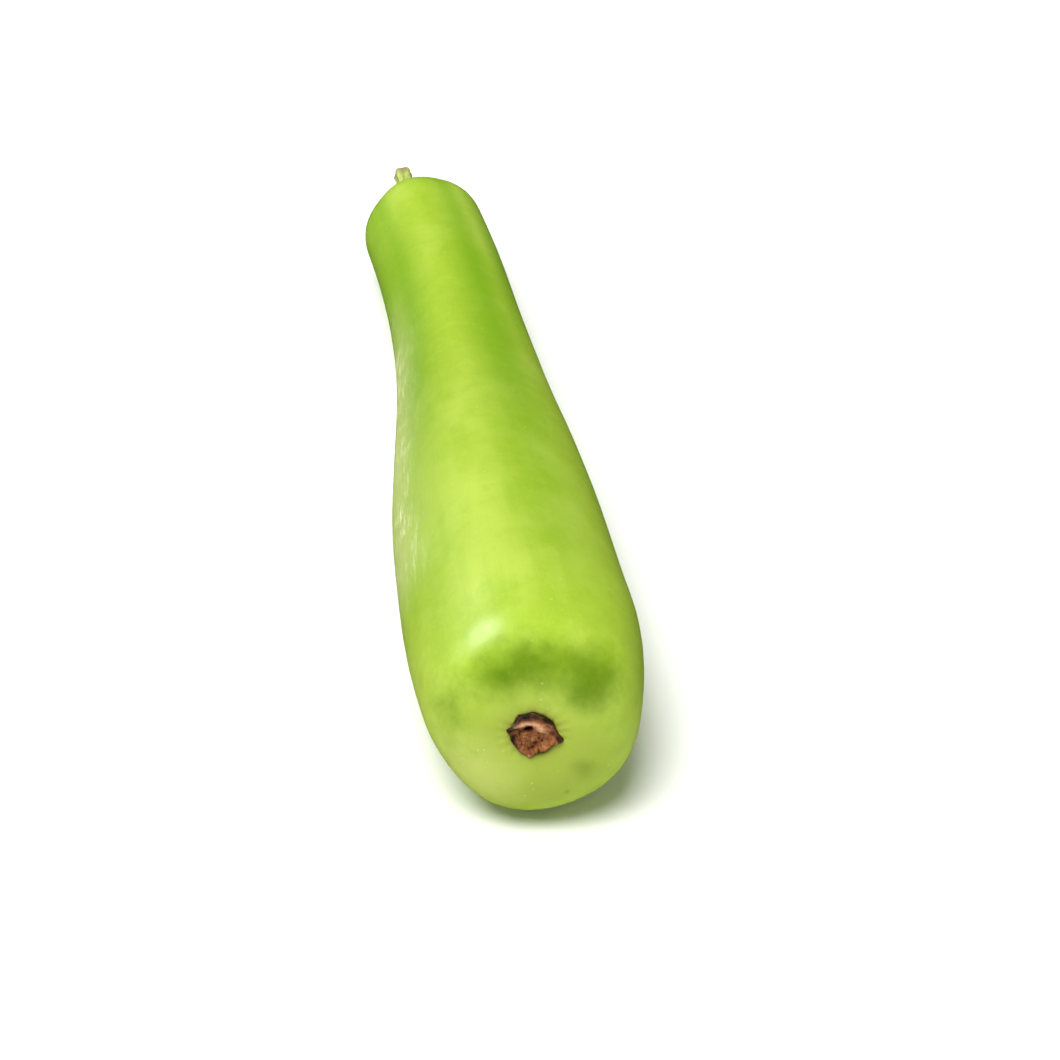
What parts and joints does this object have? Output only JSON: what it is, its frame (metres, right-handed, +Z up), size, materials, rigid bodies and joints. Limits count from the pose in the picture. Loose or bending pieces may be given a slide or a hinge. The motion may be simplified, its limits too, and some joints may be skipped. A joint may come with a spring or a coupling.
{
  "type": "bottle gourd",
  "caption": "Whole fresh bottle gourd lying on its side: thick rounded belly, slimmer neck, short ribbed cut stem at one end and a dried blossom scar at the other.",
  "frame": {"origin": "bottom centre of the whole gourd as it lies, on the surface that it rests on", "axes": "+Z up, +Y along the gourd towards its stem, so the blossom end faces -Y"},
  "size_m": [0.0866, 0.4662, 0.0884],
  "materials": {
    "skin": "satin",
    "stem": "matte",
    "scar": "matte"
  },
  "bodies": {
    "root": {"fruit": "skin", "stem": "stem", "blossom_scar": "scar"}
  },
  "joints": []
}
